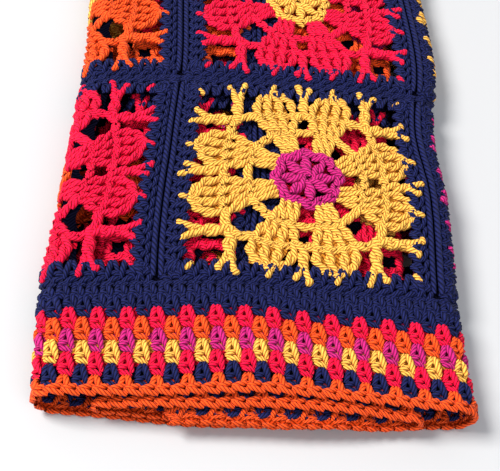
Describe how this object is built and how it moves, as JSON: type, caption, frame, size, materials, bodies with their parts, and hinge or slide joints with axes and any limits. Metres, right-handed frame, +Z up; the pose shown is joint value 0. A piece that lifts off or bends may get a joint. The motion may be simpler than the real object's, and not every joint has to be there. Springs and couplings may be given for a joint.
{
  "type": "folded crochet blanket",
  "caption": "Crocheted blanket of joined square motifs with a striped border, folded into a flat roll that lies on one face.",
  "frame": {"origin": "middle of the underside of the box round the folded blanket", "axes": "+Z up from the surface it lies on, +Y along the folds, away from the hem that faces the viewer, +X to the viewer's right"},
  "size_m": [0.1981, 0.6176, 0.0247],
  "materials": {
    "navy_yarn": "matt plied cotton",
    "red_yarn": "matt plied cotton",
    "orange_yarn": "matt plied cotton",
    "yellow_yarn": "matt plied cotton",
    "magenta_yarn": "matt plied cotton"
  },
  "bodies": {
    "root": {"squares_panel": "navy_yarn", "striped_border": "orange_yarn"}
  },
  "joints": []
}
